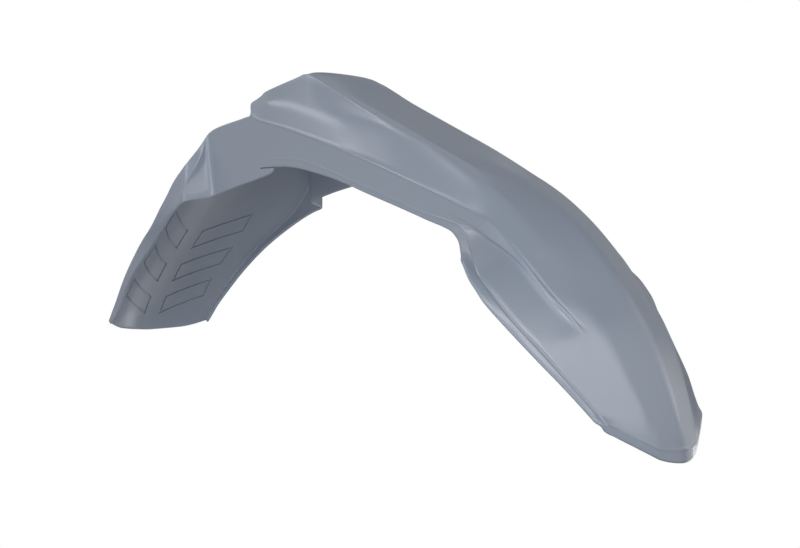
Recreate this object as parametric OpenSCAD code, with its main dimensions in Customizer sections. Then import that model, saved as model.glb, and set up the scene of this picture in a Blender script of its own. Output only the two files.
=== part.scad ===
// Motorcycle front mudguard, one moulded shell.
// X runs forward to the tip, Z up, and the origin is the centre of the four bolts on the deck.

/* [Reach] */
// Bolt centre to the tip of the beak
beak_reach = 475; // [460:1:500]
// Deck down to the tip of the beak
beak_drop = 304; // [290:1:320]
// Bolt centre back to the end of the tail
tail_reach = 241; // [230:1:260]
// Deck down to the end of the tail
tail_drop = 205; // [195:1:220]
// Thickness of the moulded wall
wall = 3; // [2:0.1:3.4]

/* [Deck and bolts] */
// Length of the flat deck under the fork clamp
deck_l = 106; // [96:1:112]
// Width of the deck between the cheeks, at its rear end
deck_w = 112; // [106:1:116]
// Width of the deck at its front end
deck_front_w = 84; // [82:1:88]
// Bolt spacing along the bike
bolt_x = 64; // [56:1:70]
// Bolt spacing across the bike
bolt_y = 68; // [60:1:70]
// Diameter of the bolt holes
bolt_d = 6.6; // [5:0.1:8.6]

/* [Hump and neck] */
// Top of the hump above the deck
hump_h = 54; // [46:1:60]
// Width between the two ridges at the rear of the hump
ridge_w = 100; // [96:1:104]
// Width over the side walls of the neck
neck_w = 140; // [136:1:150]
// Deck down to the lower edge at the top of the arch
arch_drop = 40; // [36:1:46]

/* [Wings and nose] */
// Width over the two wings
wing_w = 245; // [230:1:260]
// Width over the front corners of the nose
nose_w = 143; // [134:1:152]
// Depth of the step from the rib down into the wing pocket
pocket_step = 2.5; // [1:0.1:3.5]
// Height of the turned lip along the front edge
lip_h = 9; // [6:0.5:11]

/* [Slit] */
// Length of the slit over the tongue behind the arch
slit_l = 17; // [12:0.5:22]
// Width of the slit
slit_w = 1.5; // [1:0.1:2.2]

/* [Tail] */
// Width over the flares behind the fork legs
flare_w = 196; // [186:1:206]
// Width over the lower end of the tail
tail_w = 140; // [132:1:148]
// Width of the flat strip down the middle of the tail
back_w = 45; // [36:1:54]
// Width of the grooves inside the tail
groove_w = 1.8; // [1.2:0.1:2.6]
// Depth of the grooves
groove_depth = 1; // [0.5:0.1:1.4]
// Height from one pair of grooves to the next
groove_pitch = 36; // [32:1:38]

/* [Hidden] */

// Half widths, and the two ends that the outlines are measured from
neck = neck_w / 2;
wing = wing_w / 2;
nose = nose_w / 2;
flare = flare_w / 2;
tail = tail_w / 2;
strip = back_w / 2;
ridge = ridge_w / 2;
tip = [beak_reach, 0, -beak_drop];
end = [-tail_reach, 0, -tail_drop];
deck_foot = deck_w / 2;
deck_front_foot = deck_front_w / 2;
deck_rear = -deck_l * 0.42;
deck_front = deck_rear + deck_l;

// Where the roof of the beak carries its three inner lines, and how far it bulges above flat
ROOF_STATIONS = [17 : 23];
ROOF_SHARES = [0.4, 0.62, 0.76];
ROOF_RISE = 1;

function from_tip(back, half, up) = [tip.x - back, half, tip.z + up];
function from_end(fwd, half, up) = [end.x + fwd, half, end.z + up];
function mix(a, b, f) = a + (b - a) * f;
function point_at(rows, station) = [for (row = rows) if (row[0] == station) row[1]][0];
function roof_rows(f) = [for (s = ROOF_STATIONS)
    [s, mix(point_at(centre_line, s), point_at(shoulder_line, s), f)
        + [0, 0, ROOF_RISE * 4 * f * (1 - f)]]];

// Character lines from the centre line out to the free edge.
// Each row is a station number, counted from the tail to the nose, and a point there.
// Centre line, over the deck, the hump and the roof of the beak
centre_line = [
    [0, end],
    [1, from_end(7, 0, 19)],
    [2, from_end(32, 0, 58)],
    [3, from_end(73, 0, 102)],
    [4, from_end(119, 0, 147)],
    [5, [deck_rear - 40, 0, -22]],
    [5.6, [deck_rear - 17, 0, -4]],
    [6.2, [deck_rear, 0, 0]],
    [12, [deck_front, 0, 0]],
    [12.2, [deck_front + 2, 0, 4]],
    [12.8, [deck_front + 8, 0, hump_h - 5]],
    [13, [deck_front + 11, 0, hump_h]],
    [13.3, [deck_front + 17, 0, hump_h]],
    [14, [124, 0, hump_h - 25]],
    [15, [177, 0, hump_h - 53]],
    [16, [240, 0, hump_h - 83]],
    [17, from_tip(175, 0, 247)],
    [18, from_tip(137, 0, 222)],
    [19, from_tip(103, 0, 194)],
    [20, from_tip(70, 0, 158)],
    [21, from_tip(43, 0, 117)],
    [22, from_tip(24, 0, 80)],
    [23, from_tip(8, 0, 38)],
    [23.6, from_tip(2, 0, lip_h + 1)],
    [24, tip],
];
// Soft bend in the shoulder between ridge and crease
shoulder_line = [
    [0, from_end(15, mix(strip, tail, 0.75), 6)],
    [1, from_end(23, mix(strip, tail, 0.75), 23)],
    [2, from_end(49, mix(strip, tail, 0.8), 58)],
    [3, from_end(92, mix(strip, tail, 0.9), 98)],
    [4, from_end(141, mix(strip, flare, 0.8), 138)],
    [5, [deck_rear - 25, mix(strip, flare, 0.77), -32]],
    [5.6, [deck_rear - 13.5, neck + 4, -11.5]],
    [6.2, [deck_rear - 7.5, neck - 1, -1]],
    [7, [deck_rear + 6, neck - 0.5, 3.3]],
    [8, [-3, neck - 0.5, 9]],
    [9, [10, neck - 0.8, 12]],
    [9.5, [9.3, neck - 1.7, 17]],
    [9.7, [9.8, neck - 2, 18.8]],
    [10, [17, neck - 2.6, 20]],
    [10.5, [27, neck - 3.4, 22]],
    [10.9, [33.4, neck - 3.9, 22.9]],
    [11.1, [36, neck - 4.3, 22.7]],
    [12, [deck_front, neck - 9, 19]],
    [13, [86, neck - 10, 11]],
    [14, [125, neck - 12, 2]],
    [15, [177, neck - 16, -10]],
    [16, [240, neck - 15, -41]],
    [17, from_tip(177, neck - 17.5, 238)],
    [18, from_tip(142, neck - 17, 212.5)],
    [19, from_tip(112, neck - 17, 181.5)],
    [19.4, from_tip(101, neck - 18, 165.5)],
    [20, from_tip(83, neck - 17.5, 142)],
    [21, from_tip(54, neck - 22, 107)],
    [22, from_tip(34, neck - 26, 68)],
    [23, from_tip(18, neck - 34, 34)],
    [23.6, from_tip(14, neck - 36, lip_h + 8)],
    [24, from_tip(12, neck - 35, 9)],
];
// Foot of the cheeks on the deck, fold beside the flat strip of the tail
deck_line = [
    [0, from_end(1, strip, 1)],
    [1, from_end(8, strip, 19)],
    [2, from_end(33, strip, 58)],
    [3, from_end(76, strip, 103)],
    [4, from_end(122, strip + 8, 147)],
    [5, [deck_rear - 38, strip + 18, -23]],
    [5.6, [deck_rear - 15, strip + 27, -5]],
    [6.2, [deck_rear, deck_foot, 0]],
    [9, [8, mix(deck_foot, deck_front_foot, 0.4), 0]],
    [12, [deck_front, deck_front_foot, 0]],
    [12.2, [deck_front + 2, deck_front_foot, 4]],
    [12.8, [deck_front + 8, ridge - 22, hump_h - 5.5]],
    [13, [deck_front + 11, ridge - 23, hump_h - 0.5]],
    [13.3, [deck_front + 17, ridge - 24, hump_h - 0.5]],
    [14, [124, ridge - 24, hump_h - 25.5]],
    [15, [177, ridge - 24, hump_h - 53.5]],
    [16, [240, ridge - 26, hump_h - 83.5]],
    each roof_rows(ROOF_SHARES[0]),
    [23.6, from_tip(5, ridge - 34, lip_h + 1.5)],
    [24, from_tip(3, ridge - 34, 1.5)],
];
// Inner brow of the cheeks, where their tops turn down to the deck
brow_line = [
    [0, from_end(5, mix(strip, tail, 0.3), 2)],
    [1, from_end(12, mix(strip, tail, 0.3), 20)],
    [2, from_end(37, mix(strip, tail, 0.3), 58)],
    [3, from_end(80, mix(strip, tail, 0.4), 101)],
    [4, from_end(128, mix(strip, flare, 0.4), 143)],
    [5, [deck_rear - 32, mix(strip, flare, 0.45), -24]],
    [5.6, [deck_rear - 13, neck - 12, -6]],
    [6.2, [deck_rear, neck - 9, 1]],
    [7, [deck_rear + 8, neck - 9, 4]],
    [8, [-3, neck - 9, 10.5]],
    [9, [7, neck - 9, 13.5]],
    [9.5, [9, neck - 11, 24]],
    [10, [15, neck - 13, 28.5]],
    [11, [24, neck - 15, 35]],
    [12, [deck_front, ridge - 5, hump_h - 6.5]],
    [12.8, [deck_front + 8, ridge - 7, hump_h - 4.5]],
    [13, [deck_front + 11, ridge - 8, hump_h - 2]],
    [13.3, [deck_front + 16, ridge - 8, hump_h - 3]],
    [14, [124, ridge - 8, hump_h - 27]],
    [15, [177, ridge - 8, hump_h - 53.8]],
    [16, [240, ridge - 12, hump_h - 83.8]],
    each roof_rows(ROOF_SHARES[1]),
    [23.6, from_tip(7, ridge - 28, lip_h + 2.5)],
    [24, from_tip(6, ridge - 28, 3)],
];
// Ridge along the top face, and the outer brow of the cheeks behind it
ridge_line = [
    [0, from_end(9, mix(strip, tail, 0.5), 3)],
    [1, from_end(16, mix(strip, tail, 0.5), 21)],
    [2, from_end(41, mix(strip, tail, 0.5), 58)],
    [3, from_end(86, mix(strip, tail, 0.6), 100)],
    [4, from_end(134, mix(strip, flare, 0.6), 142)],
    [5, [deck_rear - 29, mix(strip, flare, 0.6), -27]],
    [5.6, [deck_rear - 14, neck - 4, -7.5]],
    [6.2, [deck_rear - 3, neck - 3.5, 0.5]],
    [7, [deck_rear + 7, neck - 3, 4.3]],
    [8, [-3, neck - 3, 10.5]],
    [9, [9, neck - 3, 13.3]],
    [9.5, [7, neck - 4, 23.5]],
    [9.7, [7.5, neck - 4.5, 25.2]],
    [10, [14, neck - 6, 28.5]],
    [10.5, [19.5, neck - 7.3, 31.7]],
    [10.9, [22.4, neck - 8, 34.2]],
    [11.1, [25, neck - 8.5, 35.4]],
    [12, [deck_front, ridge + 3, hump_h - 6.5]],
    [12.8, [deck_front + 7, ridge, hump_h - 4.3]],
    [13, [deck_front + 10, ridge - 0.5, hump_h - 4.5]],
    [14, [124, ridge, hump_h - 31]],
    [15, [177, ridge, hump_h - 57]],
    [16, [240, ridge - 5, hump_h - 85.5]],
    each roof_rows(ROOF_SHARES[2]),
    [23.6, from_tip(9, ridge - 24, lip_h + 3)],
    [24, from_tip(7.5, ridge - 24, 4)],
];
// Side crease, and the rear corner of the tail flange
crease_line = [
    [0, from_end(22, tail, 10)],
    [1, from_end(33.5, tail + 1, 27)],
    [2, from_end(57.5, tail + 6.5, 56.5)],
    [3, from_end(96, tail + 14, 93.5)],
    [3.5, from_end(117.5, tail + 18.5, 108.5)],
    [4, from_end(145.5, flare - 3, 132.5)],
    [4.5, from_end(160.5, flare - 3, 151)],
    [5, [deck_rear - 22, flare - 6.5, -37]],
    [5.3, [deck_rear - 16, flare - 10, -29]],
    [5.6, [deck_rear - 12, neck + 12, -21]],
    [6, [deck_rear - 9.5, neck + 3, -7.5]],
    [6.2, [deck_rear - 9, neck, -4]],
    [7, [deck_rear + 5, neck, 2]],
    [8, [-3, neck, 7.2]],
    [9, [10, neck, 10.5]],
    [9.5, [11, neck, 11.5]],
    [9.7, [12, neck, 12]],
    [10, [14.5, neck, 10.7]],
    [10.5, [20, neck, 8]],
    [10.9, [22.6, neck, 6.7]],
    [11.1, [25, neck, 6]],
    [12, [deck_front, neck, -4]],
    [13, [83, neck, -10.5]],
    [14, [126, neck, -24.5]],
    [15, [183, neck, -45]],
    [16, [247, neck, -70]],
    [17, from_tip(183, neck + 1, 216)],
    [18, from_tip(153, neck + 3, 202)],
    [19, from_tip(121, neck + 4, 177)],
    [20, from_tip(90, neck - 1, 143)],
    [20.7, from_tip(67, neck - 8, 117)],
    [21, from_tip(59, neck - 12.5, 109.5)],
    [22, from_tip(37.5, neck - 20, 68.3)],
    [23, from_tip(21.5, neck - 30, 36)],
    [23.6, from_tip(17, nose - 29, lip_h + 13)],
    [24, from_tip(14, nose - 28, 13)],
];
// Lower edge of the rib that stands over the pocket
rib_line = [
    [0, from_end(23.5, tail, 8.5)],
    [1, from_end(36, tail + 0.5, 25)],
    [2, from_end(61, tail + 6, 53)],
    [3, from_end(103, tail + 12, 90)],
    [4, from_end(155, flare - 4, 127)],
    [4.5, from_end(169, flare - 2, 138)],
    [5, [deck_rear - 14, flare - 1, -56.5]],
    [5.3, [deck_rear - 10, flare - 8, -42.5]],
    [5.6, [deck_rear - 8, neck + 11, -28]],
    [6, [deck_rear - 8.8, neck + 2, -14]],
    [6.2, [deck_rear - 8.5, neck, -12]],
    [6.4, [deck_rear - 4, neck, -13]],
    [7, [deck_rear + 8, neck, -14]],
    [9, [10, neck, -10]],
    [11.1, [26, neck, -8]],
    [13, [83, neck, -22]],
    [15, [180, neck, -53]],
    [16, [245, neck, -80]],
    [17, from_tip(182, neck + 1.5, 204)],
    [18, from_tip(151, neck + 5, 188)],
    [19, from_tip(120, neck + 7, 171)],
    [20, from_tip(88, neck + 1.5, 139)],
    [20.7, from_tip(66, neck - 7.5, 115)],
    [21, from_tip(60, neck - 10, 105.5)],
    [22, from_tip(41, nose - 15, 67)],
    [23, from_tip(25, nose - 23, 37)],
    [23.6, from_tip(20.5, nose - 21, lip_h + 16)],
    [24, from_tip(17.5, nose - 20, 16.5)],
];
// Upper end of the pocket, a step inside the rib
pocket_line = [
    [0, from_end(24, tail, 8)],
    [1, from_end(37, tail + 0.2, 24)],
    [2, from_end(62, tail + 6, 52.5)],
    [3, from_end(105, tail + 11.3, 89)],
    [4, from_end(159, flare - 4, 125.5)],
    [4.5, from_end(173, flare - 1, 135)],
    [5, [deck_rear - 14, flare, -61]],
    [5.3, [deck_rear - 11, flare - 7, -50]],
    [5.6, [deck_rear - 9, neck + 13, -42]],
    [6, [deck_rear - 7, neck + 2.5, -31]],
    [6.2, [deck_rear - 5.5, neck, -28]],
    [6.4, [deck_rear - 1, neck, -28]],
    [7, [deck_rear + 8, neck, -28]],
    [9, [10, neck, -24]],
    [13, [80, neck, -31]],
    [15, [178, neck, -62]],
    [16, [243, neck, -88]],
    [17, from_tip(182, neck + 1, 201)],
    [18, from_tip(150, neck + 6 - pocket_step, 185)],
    [19, from_tip(120, neck + 9 - pocket_step, 167)],
    [20, from_tip(89, neck + 4.5 - pocket_step, 136)],
    [20.7, from_tip(68, neck - 5, 112)],
    [21, from_tip(63, nose - 7.5, 102)],
    [22, from_tip(44.5, nose - 7.5, 66)],
    [23, from_tip(29.5, nose - 13.5, 38.5)],
    [23.6, from_tip(24, nose - 13.5, lip_h + 19)],
    [24, from_tip(20.5, nose - 14.5, 20.5)],
];
// Groove inside the rim of the wing
groove_line = [
    [0, from_end(24.3, tail, 7.7)],
    [1, from_end(37.7, tail, 23.4)],
    [2, from_end(62.7, tail + 6, 52.2)],
    [3, from_end(106, tail + 11, 88.3)],
    [4, from_end(161, flare - 4.3, 124.5)],
    [4.5, from_end(175, flare - 0.5, 132.5)],
    [5, [deck_rear - 14.2, flare, -67]],
    [5.6, [deck_rear - 8, neck + 16, -64]],
    [6, [deck_rear - 3, neck + 4, -60]],
    [6.2, [deck_rear - 1, neck + 0.3, -59]],
    [6.4, [deck_rear + 3, neck, -59]],
    [7, [deck_rear + 12, neck, -58]],
    [9, [15, neck, -44]],
    [10, [40, neck, 7 - arch_drop]],
    [13, [77, neck, 5 - arch_drop]],
    [15, [175, neck, -67]],
    [16, [243, neck, -91.5]],
    [17, from_tip(190, neck + 1, 201)],
    [18, from_tip(158, mix(neck, wing, 0.42), 176)],
    [19, from_tip(126, wing - 9, 150)],
    [20, from_tip(100, mix(wing, nose, 0.28), 120)],
    [21, from_tip(77, mix(wing, nose, 0.5), 93)],
    [22, from_tip(54, mix(wing, nose, 0.72), 65)],
    [23, from_tip(37, nose + 2, 42)],
    [23.6, from_tip(31, nose - 1.5, lip_h + 27)],
    [24, from_tip(26, nose - 5.5, 27)],
];
// Free edge, from the tail past the flare, under the neck and round the wing
edge_line = [
    [0, from_end(24.6, tail, 7.4)],
    [1, from_end(38, tail, 23)],
    [2, from_end(63, tail + 6, 52)],
    [3, from_end(107, tail + 10.5, 88)],
    [4, from_end(162, flare - 4.5, 124)],
    [4.5, from_end(176, flare - 0.5, 131)],
    [5, [deck_rear - 14.4, flare, -72]],
    [5.6, [deck_rear - 8, neck + 16, -69]],
    [6, [deck_rear - 3, neck + 4, -67]],
    [6.2, [deck_rear - 0.8, neck + 0.3, -65]],
    [6.4, [deck_rear + 3, neck, -64]],
    [7, [deck_rear + 18, neck, -61]],
    [8, [-4, neck, -56]],
    [9, [20, neck, -11 - arch_drop]],
    [9.8, [42, neck, -4.5 - arch_drop]],
    [10, [44, neck, -arch_drop]],
    [11, [55, neck, -arch_drop]],
    [13, [76, neck, -2 - arch_drop]],
    [14, [124, neck, -14 - arch_drop]],
    [15, [175, neck, -31.5 - arch_drop]],
    [16, [243, neck, -95.5]],
    [17, from_tip(200, neck + 1, 197)],
    [17.5, from_tip(183, mix(neck, wing, 0.17), 188.5)],
    [18, from_tip(164, mix(neck, wing, 0.48), 175)],
    [18.5, from_tip(143.5, mix(neck, wing, 0.8), 163)],
    [19, from_tip(128, wing, 150)],
    [19.4, from_tip(119, wing, 139)],
    [20, from_tip(103, mix(wing, nose, 0.15), 118)],
    [21, from_tip(79, mix(wing, nose, 0.38), 90.5)],
    [22, from_tip(55, mix(wing, nose, 0.64), 62.5)],
    [23, from_tip(38, mix(wing, nose, 0.86), 41)],
    [23.6, from_tip(34, mix(wing, nose, 0.93), 36)],
    [24, from_tip(29.5, nose, 30.5)],
];
LINES = [centre_line, deck_line, brow_line, ridge_line, shoulder_line, crease_line,
    rib_line, pocket_line, groove_line, edge_line];
// How far each fold is cut back on either side of its line, by station
FOLDS = [
    [],
    [[0, 3], [4, 10], [6, 3], [12, 2], [14, 15]],
    [[0, 10], [5, 10], [6, 1.5], [12, 1.2], [13, 3], [17, 15]],
    [[0, 10], [5, 10], [6, 1.5], [12, 1], [15, 1.2], [16, 3], [17, 10], [24, 15]],
    [[0, 10], [5, 10], [6, 1.2], [11, 1], [11.2, 2.5], [13, 7], [15, 10], [17, 7], [24, 4.5]],
    [[0, 0.8], [5, 1.5], [6, 1], [10, 0.6], [18, 1], [20.7, 1], [21, 15]],
    [[0, 0.5], [5, 1.2], [16, 0.8], [20.7, 1], [21, 15]],
    [[0, 0.5], [5, 1.5], [16, 0.5], [20.7, 1], [21, 15]],
    [[0, 0.5], [6, 1], [24, 0.8]],
];
// Most of a strip that a fold may take away at one side
FOLD_SHARE = 0.23;
// Number of sections between one whole station and the next
SECTIONS = [2, 2, 2, 2, 3, 4, 3, 2, 2, 4, 3, 2, 5, 3, 2, 2, 3, 3, 3, 3, 3, 2, 2, 5];
stations = [for (i = [0 : len(SECTIONS) - 1], k = [0 : SECTIONS[i] - 1]) i + k / SECTIONS[i], 24];
last_line = len(LINES) - 1;
last_row = len(stations) - 1;

// Monotone cubic curve through the rows of one line
function slope(rows, i) = (rows[i + 1][1] - rows[i][1]) / (rows[i + 1][0] - rows[i][0]);
function blend_slope(a, b) = a * b <= 0 ? 0 : 2 * a * b / (a + b);
function tangent(rows, i) =
    i == 0 ? slope(rows, 0)
    : i == len(rows) - 1 ? slope(rows, i - 1)
    : let (a = slope(rows, i - 1), b = slope(rows, i)) [for (c = [0 : 2]) blend_slope(a[c], b[c])];
function row_before(rows, s) = max([for (i = [0 : len(rows) - 2]) if (rows[i][0] <= s) i]);
function on_line(rows, s) =
    let (
        i = row_before(rows, s),
        h = rows[i + 1][0] - rows[i][0],
        t = (s - rows[i][0]) / h
    )
    (1 + 2 * t) * pow(1 - t, 2) * rows[i][1] + t * pow(1 - t, 2) * h * tangent(rows, i)
    + t * t * (3 - 2 * t) * rows[i + 1][1] + t * t * (t - 1) * h * tangent(rows, i + 1);
outer_lines = [for (rows = LINES) [for (s = stations) on_line(rows, s)]];

// The inner lines lie where the strips on both sides meet once they are moved in by the wall
function unit(v) = v / max(norm(v), 0.001);
function mirrored(p) = [p.x, -p.y, p.z];
function along(k, i) =
    let (a = max(i - 1, 0), b = min(i + 1, last_row))
    outer_lines[k][b] + outer_lines[k + 1][b] - outer_lines[k][a] - outer_lines[k + 1][a];
strips = [for (k = [0 : last_line - 1]) [for (i = [0 : last_row])
    unit(cross(along(k, i), outer_lines[k + 1][i] - outer_lines[k][i]))]];
function strip_normal(k, i) =
    unit(strips[k][max(i - 1, 0)] + 2 * strips[k][i] + strips[k][min(i + 1, last_row)]);
// Least value of one plus the dot product, so that a sharp fold stays in bounds
SHARP_FOLD = 0.6;
function moved_in(p, a, b) = p - wall * (a + b) / max(1 + a * b, SHARP_FOLD);
inner_lines = [for (k = [0 : last_line]) [for (i = [0 : last_row])
    let (
        b = strip_normal(min(k, last_line - 1), i),
        a = k == 0 ? mirrored(b) : strip_normal(k - 1, i)
    )
    moved_in(outer_lines[k][i], a, b)]];

// One section: the lines at a station, with each fold cut back on both sides
function cut_back(a, b, d) = a + (b - a) * min(FOLD_SHARE, d / max(norm(b - a), 0.01));
function half_section(lines, i) = [
    lines[0][i],
    for (k = [1 : last_line - 1], side = [-1, 1])
        cut_back(lines[k][i], lines[k + side][i], lookup(stations[i], FOLDS[k])),
    lines[last_line][i]
];
function full_section(half) =
    [for (k = [len(half) - 1 : -1 : 1]) mirrored(half[k]), each half];
outer = [for (i = [0 : last_row]) full_section(half_section(outer_lines, i))];
inner = [for (i = [0 : last_row]) full_section(half_section(inner_lines, i))];

// Faces of a closed solid between two grids: both grids and the rim strip all round
function at(rows, cols, i, j, grid) = (grid * rows + i) * cols + j;
function rim(rows, cols) = [
    for (j = [0 : cols - 2]) [0, j],
    for (i = [0 : rows - 2]) [i, cols - 1],
    for (j = [cols - 1 : -1 : 1]) [rows - 1, j],
    for (i = [rows - 1 : -1 : 1]) [i, 0]
];
function grid_faces(rows, cols) = [
    for (i = [0 : rows - 2], j = [0 : cols - 2])
        let (
            a = at(rows, cols, i, j, 0),
            b = at(rows, cols, i, j, 1)
        ) each [
            [a, a + 1, a + cols],
            [a + 1, a + cols + 1, a + cols],
            [b, b + cols, b + 1],
            [b + 1, b + cols, b + cols + 1]
        ],
    for (ring = [rim(rows, cols)], k = [0 : len(ring) - 1])
        let (
            p = ring[k],
            q = ring[(k + 1) % len(ring)],
            a = at(rows, cols, p[0], p[1], 0),
            b = at(rows, cols, q[0], q[1], 0),
            under = rows * cols
        ) each [[a, a + under, b], [b, a + under, b + under]]
];

module between(top, bottom) {
    polyhedron(
        points = [for (grid = [top, bottom], row = grid) each row],
        faces = grid_faces(len(top), len(top[0]))
    );
}

module bolt_holes() {
    for (x = [-1, 1], y = [-1, 1])
        translate([x * bolt_x / 2, y * bolt_y / 2, -2 * wall])
            cylinder(d = bolt_d, h = 4 * wall, $fn = 48);
}

// The slit runs back from the end of the tongue, just below the top of the arch
TONGUE_X = on_line(edge_line, 10).x;
SLIT_BELOW = 0.5;
SLIT_OPEN = 4;
SLIT_Z = -arch_drop - SLIT_BELOW - slit_w / 2;
module slits() {
    for (side = [-1, 1])
        translate([TONGUE_X - slit_l, side * (neck - wall / 2), SLIT_Z])
            rotate([90, 0, 0]) {
                cylinder(d = slit_w, h = 3 * wall, center = true, $fn = 24);
                translate([(slit_l + SLIT_OPEN) / 2, 0, 0])
                    cube([slit_l + SLIT_OPEN, slit_w, 3 * wall], center = true);
            }
}

// Grooves inside the tail: pairs of slanted lozenge outlines on either side of a plain stem
GROOVE_PAIRS = 3;
GROOVE_FOOT = 16;
GROOVE_RISE = 20;
GROOVE_HEIGHT = 20;
STEM_HALF = 10;
GROOVE_MARGIN = 15;
GROOVE_STATION = 4;
GROOVE_COLUMNS = 9;
GROOVE_OVERCUT = 0.5;
tail_rows = len([for (s = stations) if (s <= GROOVE_STATION) s]);
middle = (len(outer[0]) - 1) / 2;
function layer(f) = [for (i = [0 : tail_rows - 1])
    [for (j = [middle - GROOVE_COLUMNS : middle + GROOVE_COLUMNS]) mix(inner[i][j], outer[i][j], f)]];

module lozenge(side, foot) {
    reach = tail - GROOVE_MARGIN;
    polygon([
        [side * STEM_HALF, foot],
        [side * STEM_HALF, foot + GROOVE_HEIGHT],
        [side * reach, foot + GROOVE_HEIGHT + GROOVE_RISE],
        [side * reach, foot + GROOVE_RISE]
    ]);
}

module tail_grooves() {
    intersection() {
        between(layer(groove_depth / wall), layer(-GROOVE_OVERCUT));
        for (side = [-1, 1], k = [0 : GROOVE_PAIRS - 1])
            translate([end.x - wall, 0, end.z])
                rotate([90, 0, 90])
                    linear_extrude(tail_reach / 2)
                        difference() {
                            lozenge(side, GROOVE_FOOT + k * groove_pitch);
                            offset(delta = -groove_w)
                                lozenge(side, GROOVE_FOOT + k * groove_pitch);
                        }
    }
}

module mudguard() {
    color("slategray")
        difference() {
            between(outer, inner);
            bolt_holes();
            slits();
            tail_grooves();
        }
}

mudguard();
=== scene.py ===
"""Motorcycle front mudguard: the moulded shell, its satin plastic and the studio around it."""

import math

import bmesh
import bpy
import numpy as np
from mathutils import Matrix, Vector


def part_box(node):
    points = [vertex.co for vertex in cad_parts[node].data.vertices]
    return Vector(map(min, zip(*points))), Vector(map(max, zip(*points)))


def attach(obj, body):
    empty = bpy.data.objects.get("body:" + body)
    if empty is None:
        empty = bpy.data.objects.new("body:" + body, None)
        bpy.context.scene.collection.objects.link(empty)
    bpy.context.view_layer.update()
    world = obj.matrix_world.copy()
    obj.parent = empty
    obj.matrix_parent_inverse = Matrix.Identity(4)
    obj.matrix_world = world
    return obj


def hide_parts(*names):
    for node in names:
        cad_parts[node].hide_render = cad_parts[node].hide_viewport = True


bl_info = {
    "name": "Motorcycle Front Mudguard",
    "version": (1, 0, 0),
    "blender": (4, 5, 0),
    "location": "3D View > Sidebar > Mudguard",
    "description": "Builds a moulded off-road front mudguard and its studio",
    "category": "Object",
}

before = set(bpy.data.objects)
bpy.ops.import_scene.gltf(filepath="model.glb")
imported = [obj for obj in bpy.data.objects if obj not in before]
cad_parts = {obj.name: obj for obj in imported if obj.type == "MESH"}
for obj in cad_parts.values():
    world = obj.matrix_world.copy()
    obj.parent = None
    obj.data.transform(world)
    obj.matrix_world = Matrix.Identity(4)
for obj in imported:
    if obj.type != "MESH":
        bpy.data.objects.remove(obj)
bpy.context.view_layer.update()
LOW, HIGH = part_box("mudguard")

MM = 0.001
# Turns a point of one half into its mirror image in the other
MIRROR = np.array((1, -1, 1))


def length(name, description, millimetres, lowest=0.0):
    """A size in metres, shown with the scene's unit and written here in millimetres."""
    return bpy.props.FloatProperty(
        name=name, description=description, default=millimetres * MM,
        min=lowest * MM, unit="LENGTH", precision=4)


def share(name, description, value, highest=1.0):
    """A plain number from 0 to highest."""
    return bpy.props.FloatProperty(
        name=name, description=description, default=value, min=0.0, max=highest)


def colour(name, description, red, green, blue):
    """A colour in linear light."""
    return bpy.props.FloatVectorProperty(
        name=name, description=description, default=(red, green, blue, 1.0),
        size=4, min=0.0, max=1.0, subtype="COLOR")


class MudguardSizes(bpy.types.PropertyGroup):
    """Driving sizes of the shell, measured from the centre of the clamp bolts."""

    beak_reach: length("Beak reach", "Bolt centre to the tip of the beak", HIGH[0] / MM)
    beak_drop: length("Beak drop", "Deck down to the tip of the beak", 304)
    tail_reach: length("Tail reach", "Bolt centre back to the end of the tail", -LOW[0] / MM)
    tail_drop: length("Tail drop", "Deck down to the end of the tail", 205)
    wall: length("Wall", "Thickness of the moulded wall", 3)
    deck_l: length("Deck length", "Length of the flat deck under the fork clamp", 106)
    deck_w: length("Deck width", "Width of the deck at its rear end", 112)
    deck_front_w: length("Deck front width", "Width of the deck at its front end", 84)
    bolt_x: length("Bolt spacing along", "Bolt spacing along the bike", 64)
    bolt_y: length("Bolt spacing across", "Bolt spacing across the bike", 68)
    bolt_d: length("Bolt hole", "Diameter of the bolt holes", 6.6)
    hump_h: length("Hump height", "Top of the hump above the deck", 54)
    ridge_w: length("Ridge width", "Width between the ridges at the rear of the hump", 100)
    neck_w: length("Neck width", "Width over the side walls of the neck", 140)
    arch_drop: length("Arch drop", "Deck down to the top of the arch", 40)
    wing_w: length("Wing width", "Width over the two wings", (HIGH[1] - LOW[1]) / MM)
    nose_w: length("Nose width", "Width over the front corners of the nose", 143)
    pocket_step: length("Pocket step", "Step from the rib down into the wing pocket", 2.5)
    lip_h: length("Lip height", "Height of the turned lip along the front edge", 9)
    flare_w: length("Flare width", "Width over the flares behind the fork legs", 196)
    tail_w: length("Tail width", "Width over the lower end of the tail", 140)
    back_w: length("Back strip width", "Width of the flat strip down the tail", 45)
    slit_l: length("Slit length", "Length of the slit over the tongue behind the arch", 17)
    slit_w: length("Slit width", "Width of the slit", 1.5)
    groove_w: length("Groove width", "Width of the grooves inside the tail", 1.8)
    groove_depth: length("Groove depth", "Depth of the grooves", 1)
    groove_pitch: length("Groove pitch", "Height from one pair of grooves to the next", 36)


class MudguardFinish(bpy.types.PropertyGroup):
    """Colour and surface of the moulded plastic."""

    plastic: colour("Plastic", "Through-coloured blue grey plastic", 0.228, 0.262, 0.322)
    roughness: share("Roughness", "Spread of the reflections", 0.32)
    grain: share("Grain", "Strength of the fine moulded grain", 0.06)


def sizes_in_mm(sizes):
    """Every driving size in millimetres, as a plain dictionary."""
    return {key: getattr(sizes, key) / MM for key in MudguardSizes.__annotations__}


def rows_between(first, second, shares, rise):
    """Rows from one line to another, by station and share, with a bulge of rise halfway."""
    inner = {row[0]: row for row in first}
    outer = {row[0]: row for row in second}
    rows = []
    for station, f in shares:
        x, half, z = [p + (q - p) * f for p, q in zip(inner[station][1:], outer[station][1:])]
        rows.append((station, x, half, z + rise * 4 * f * (1 - f)))
    return rows


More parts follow.
